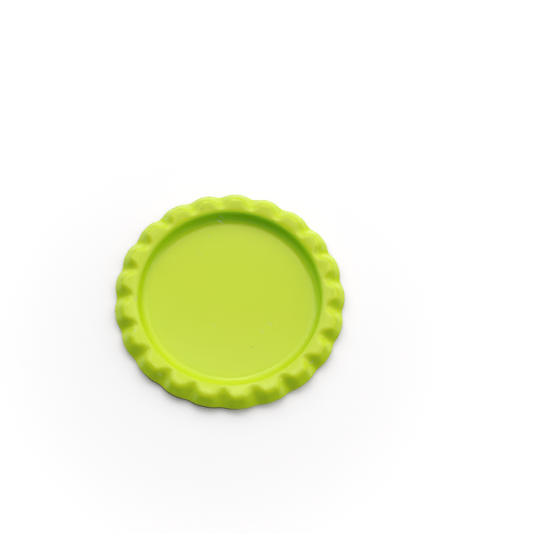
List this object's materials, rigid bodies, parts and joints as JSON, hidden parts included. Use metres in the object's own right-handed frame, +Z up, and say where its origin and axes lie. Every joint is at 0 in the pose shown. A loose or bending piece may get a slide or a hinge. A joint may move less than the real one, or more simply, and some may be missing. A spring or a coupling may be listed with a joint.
{
  "type": "bottle cap",
  "caption": "Round metal bottle cap with its fluted skirt pressed out flat into a flange, a shallow round recess and glossy lime green enamel.",
  "frame": {"origin": "centre of the flat underside of the panel, on the surface the cap lies on", "axes": "+Z up through the middle of the recess, which is open upwards; +X through the valley of one flute"},
  "size_m": [0.032, 0.032, 0.0022],
  "materials": {
    "lime_enamel": "glossy lime green enamel on tinplate, bare metal at the cut edge"
  },
  "bodies": {
    "root": {"cap": "lime_enamel"}
  },
  "joints": []
}
